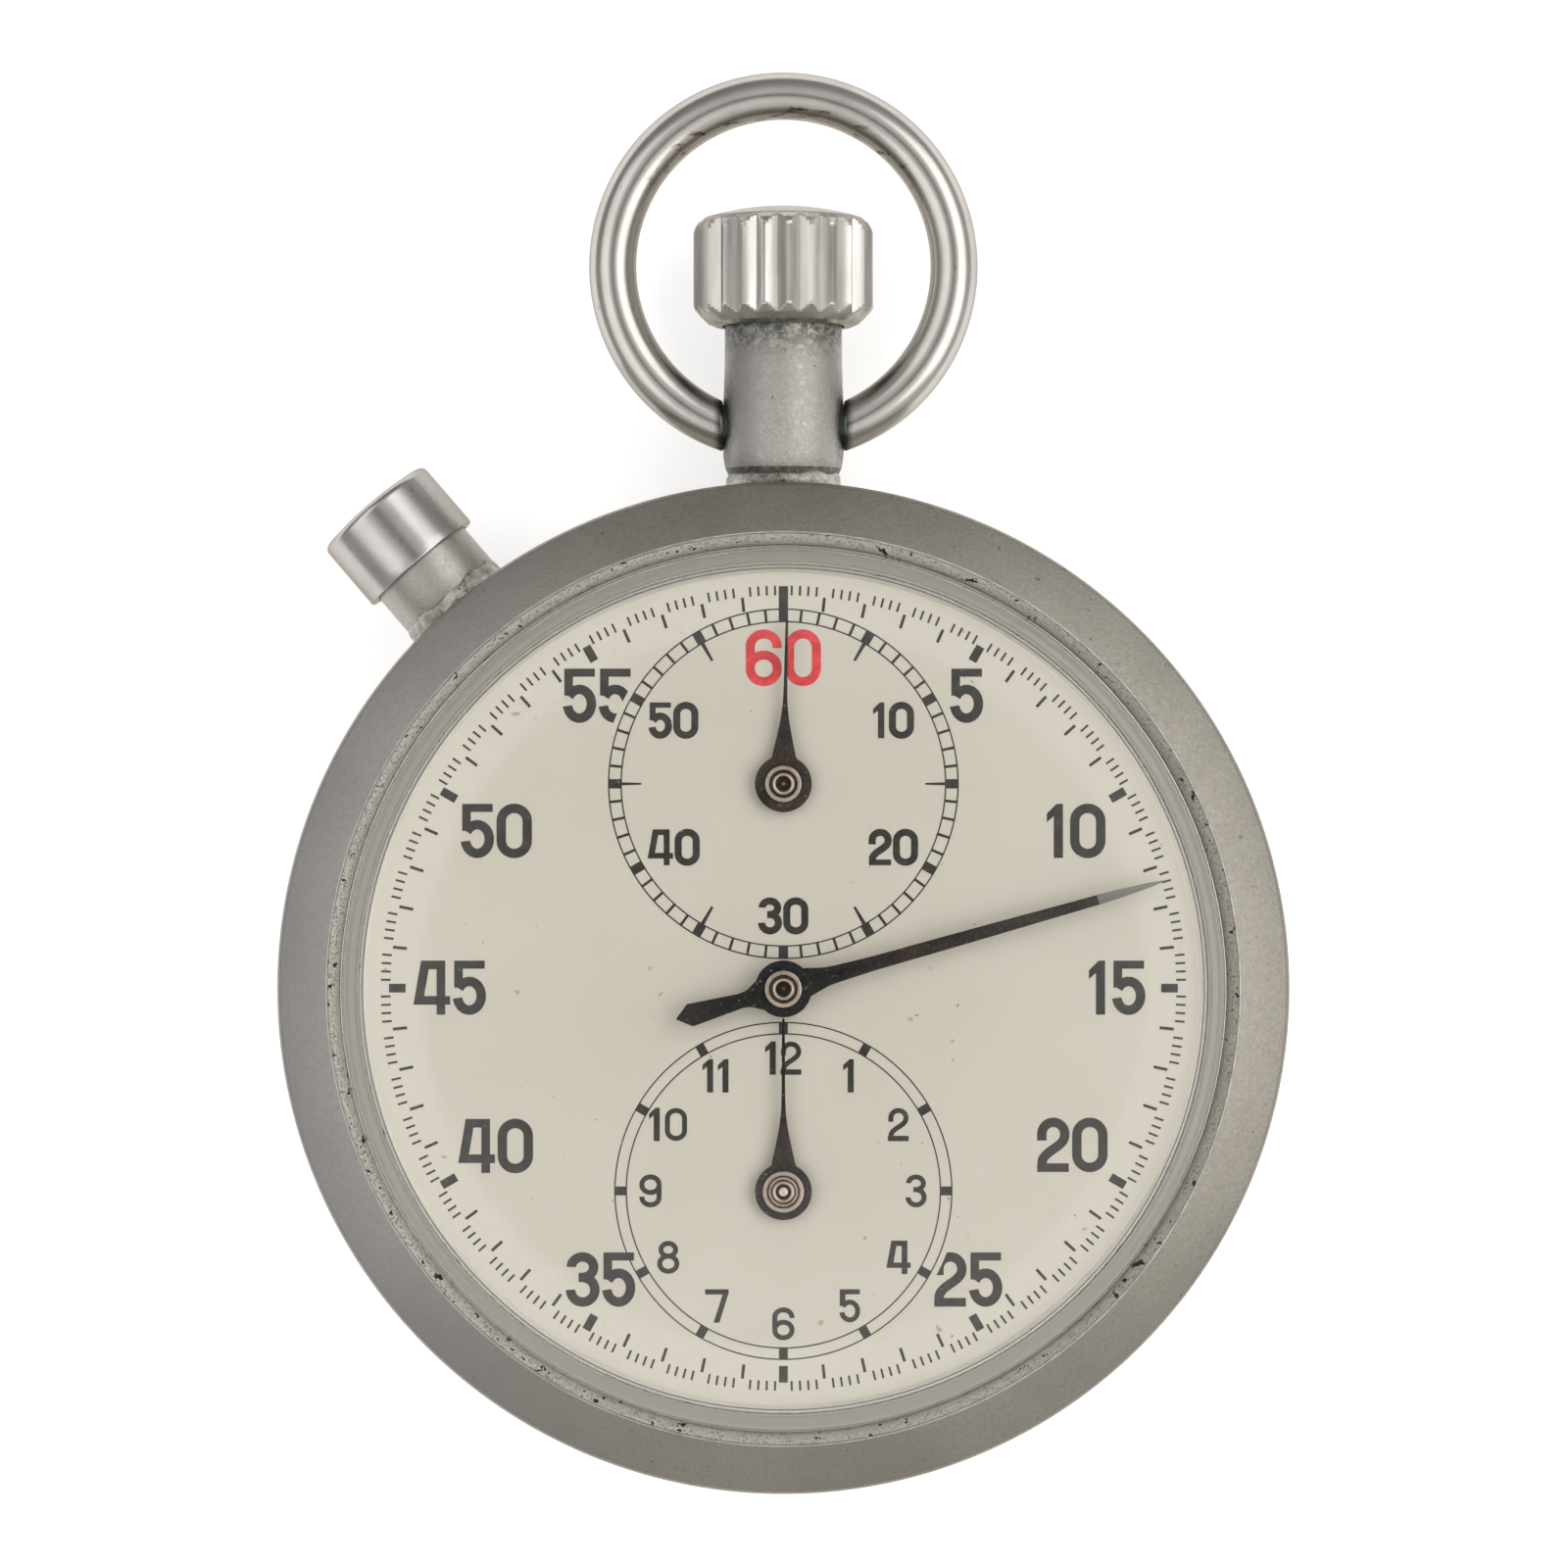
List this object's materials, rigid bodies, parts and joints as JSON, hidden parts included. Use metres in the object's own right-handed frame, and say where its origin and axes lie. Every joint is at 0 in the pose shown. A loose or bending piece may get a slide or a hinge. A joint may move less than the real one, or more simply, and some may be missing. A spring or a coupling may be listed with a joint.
{
  "type": "mechanical stopwatch",
  "caption": "Round crown-wound mechanical stopwatch with a central seconds hand, a minute register, an hour register, a side reset pusher and a swinging bow.",
  "frame": {"origin": "centre of the flat case back, on the surface that the watch rests on", "axes": "+Z out of the dial, +Y towards 12 o'clock and the crown, +X towards 3 o'clock"},
  "size_m": [0.065, 0.0919, 0.0163],
  "materials": {
    "case_metal": "fine blasted satin",
    "bow_steel": "polished, lightly scratched",
    "crystal": "clear polished acrylic",
    "dial_paint": "matt cream",
    "hand_black": "satin black",
    "brass": "fine turned",
    "plate_nickel": "nickelled, satin",
    "steel": "polished",
    "blued_steel": "blued",
    "ruby": "polished ruby"
  },
  "bodies": {
    "watch": {"balance_cock": "plate_nickel", "barrel_bridge": "plate_nickel", "bezel": "case_metal", "bridge_screws": "steel", "case_back": "case_metal", "case_band": "case_metal", "click_spring": "steel", "crown_spring": "steel", "crystal": "crystal", "dial": "dial_paint", "hairspring": "blued_steel", "jewels": "ruby", "mainplate": "plate_nickel", "pallet_cock": "plate_nickel", "pendant_tube": "case_metal", "pusher_sleeve": "case_metal", "pusher_spring": "steel", "register_bridge": "plate_nickel", "tension_ring": "case_metal", "train_bridge": "plate_nickel"},
    "bow": {"bow": "bow_steel"},
    "crown_slide": {"crown_washer": "steel"},
    "crown": {"crown": "case_metal", "winding_stem": "steel"},
    "winding_pinion": {"winding_pinion": "steel"},
    "crown_wheel": {"crown_wheel": "steel", "winding_bevel_wheel": "steel"},
    "barrel_arbor": {"barrel_arbor": "steel", "ratchet_wheel": "steel"},
    "click": {"click": "steel"},
    "pusher": {"pusher_cap": "case_metal", "pusher_stem": "steel"},
    "reset_bar": {"reset_bar": "steel"},
    "seconds": {"seconds_wheel": "brass", "seconds_arbor": "steel", "seconds_hand": "hand_black"},
    "third_wheel": {"third_wheel": "brass", "third_arbor": "steel"},
    "second_wheel": {"second_wheel": "brass", "second_arbor": "steel"},
    "barrel": {"barrel_drum": "brass", "barrel_cover": "brass", "mainspring": "blued_steel"},
    "escape_wheel": {"escape_wheel": "steel", "escape_arbor": "steel"},
    "pallet_fork": {"pallet_fork": "steel", "pallet_stones": "ruby"},
    "balance": {"balance_wheel": "brass", "balance_staff": "steel"},
    "minute_transfer": {"minute_transfer_wheel": "brass"},
    "minute_register": {"minute_wheel": "brass", "minute_arbor": "steel", "minute_hand": "hand_black"},
    "hour_transfer": {"hour_transfer_wheel": "brass"},
    "hour_register": {"hour_wheel": "brass", "hour_arbor": "steel", "hour_hand": "hand_black"},
    "start_lever": {"start_lever": "steel"},
    "column_wheel": {"column_wheel": "steel"},
    "brake_lever": {"brake_lever": "steel"}
  },
  "joints": [
    {"name": "bow_swing", "type": "hinge", "parent": "watch", "child": "bow", "pos_m": [0, 0.03635, 0.007], "axis": [1, 0, 0], "range_deg": [-105, 105]},
    {"name": "crown_press", "type": "slide", "parent": "watch", "child": "crown_slide", "axis": [0, -1, 0], "range_m": [0, 0.0012], "stiffness_N_per_m": 1500, "springref_m": -0.002, "deforming": ["crown_spring"]},
    {"name": "crown_turn", "type": "hinge", "parent": "crown_slide", "child": "crown", "pos_m": [0, 0.046, 0.007], "axis": [0, 1, 0], "continuous": true},
    {"name": "winding_pinion_turn", "type": "hinge", "parent": "watch", "child": "winding_pinion", "pos_m": [0, 0.0235, 0.007], "axis": [0, 1, 0], "continuous": true},
    {"name": "crown_wheel_turn", "type": "hinge", "parent": "watch", "child": "crown_wheel", "pos_m": [0, 0.02, 0.0015], "axis": [0, 0, 1], "continuous": true},
    {"name": "ratchet_turn", "type": "hinge", "parent": "watch", "child": "barrel_arbor", "pos_m": [-0.00963, 0.01133, 0.0015], "axis": [0, 0, 1], "continuous": true},
    {"name": "click_lift", "type": "hinge", "parent": "watch", "child": "click", "pos_m": [0.0019, 0.0113, 0.0015], "axis": [0, 0, -1], "range_deg": [0, 12], "stiffness_Nm_per_rad": 0.00002, "springref_deg": -5.73},
    {"name": "pusher_press", "type": "slide", "parent": "watch", "child": "pusher", "axis": [0.6508, -0.7593, 0], "range_m": [0, 0.0016], "stiffness_N_per_m": 1200, "springref_m": -0.002, "deforming": ["pusher_spring"]},
    {"name": "reset_slide", "type": "slide", "parent": "watch", "child": "reset_bar", "axis": [0.6508, -0.7593, 0], "range_m": [0, 0.0016]},
    {"name": "seconds_spin", "type": "hinge", "parent": "watch", "child": "seconds", "pos_m": [0, 0, 0.01345], "axis": [0, 0, -1], "continuous": true},
    {"name": "third_spin", "type": "hinge", "parent": "watch", "child": "third_wheel", "pos_m": [-0.00709, -0.00137, 0.005], "axis": [0, 0, -1], "continuous": true},
    {"name": "second_spin", "type": "hinge", "parent": "watch", "child": "second_wheel", "pos_m": [-0.01326, 0.00235, 0.005], "axis": [0, 0, -1], "continuous": true},
    {"name": "barrel_spin", "type": "hinge", "parent": "watch", "child": "barrel", "pos_m": [-0.00963, 0.01133, 0.005], "axis": [0, 0, -1], "continuous": true},
    {"name": "escape_spin", "type": "hinge", "parent": "watch", "child": "escape_wheel", "pos_m": [0.00598, -0.00279, 0.005], "axis": [0, 0, -1], "continuous": true},
    {"name": "pallet_swing", "type": "hinge", "parent": "watch", "child": "pallet_fork", "pos_m": [0.00892, -0.00573, 0.0054], "axis": [0, 0, 1], "range_deg": [-5, 5]},
    {"name": "balance_swing", "type": "hinge", "parent": "watch", "child": "balance", "pos_m": [0.01274, -0.00955, 0.004], "axis": [0, 0, 1], "range_deg": [-270, 270]},
    {"name": "minute_transfer_spin", "type": "hinge", "parent": "watch", "child": "minute_transfer", "pos_m": [0.0058, 0.00622, 0.01], "axis": [0, 0, -1], "continuous": true},
    {"name": "minute_spin", "type": "hinge", "parent": "watch", "child": "minute_register", "pos_m": [0, 0.0131, 0.01275], "axis": [0, 0, -1], "continuous": true},
    {"name": "hour_transfer_spin", "type": "hinge", "parent": "watch", "child": "hour_transfer", "pos_m": [-0.01218, -0.00719, 0.01], "axis": [0, 0, -1], "continuous": true},
    {"name": "hour_spin", "type": "hinge", "parent": "watch", "child": "hour_register", "pos_m": [0, -0.013, 0.01275], "axis": [0, 0, -1], "continuous": true},
    {"name": "start_lever_swing", "type": "hinge", "parent": "watch", "child": "start_lever", "pos_m": [0.006, 0.0153, 0.0057], "axis": [0, 0, 1], "range_deg": [0, 11.59]},
    {"name": "column_step", "type": "hinge", "parent": "watch", "child": "column_wheel", "pos_m": [0.01236, 0.00894, 0.0057], "axis": [0, 0, -1], "range_deg": [0, 30.1]},
    {"name": "brake_swing", "type": "hinge", "parent": "watch", "child": "brake_lever", "pos_m": [0.0152, 0.0005, 0.0039], "axis": [0, 0, -1], "range_deg": [0, 1.07]}
  ],
  "couplings": [
    {"joint": "winding_pinion_turn", "follows": "crown_turn", "ratio": 1},
    {"joint": "crown_wheel_turn", "follows": "crown_turn", "ratio": 0.6},
    {"joint": "ratchet_turn", "follows": "crown_turn", "ratio": -0.33913},
    {"joint": "start_lever_swing", "follows": "crown_press", "rad_per_m": 167.82},
    {"joint": "column_step", "follows": "crown_press", "rad_per_m": 436.33},
    {"joint": "brake_swing", "follows": "crown_press", "rad_per_m": 15.272},
    {"joint": "reset_slide", "follows": "pusher_press", "ratio": 1},
    {"joint": "third_spin", "follows": "seconds_spin", "ratio": -0.13333},
    {"joint": "second_spin", "follows": "seconds_spin", "ratio": 0.016667},
    {"joint": "barrel_spin", "follows": "seconds_spin", "ratio": -0.0026316},
    {"joint": "escape_spin", "follows": "seconds_spin", "ratio": -10},
    {"joint": "minute_transfer_spin", "follows": "seconds_spin", "ratio": -0.13333},
    {"joint": "minute_spin", "follows": "seconds_spin", "ratio": 0.016667},
    {"joint": "hour_transfer_spin", "follows": "seconds_spin", "ratio": -0.0055556},
    {"joint": "hour_spin", "follows": "seconds_spin", "ratio": 0.0013889}
  ]
}
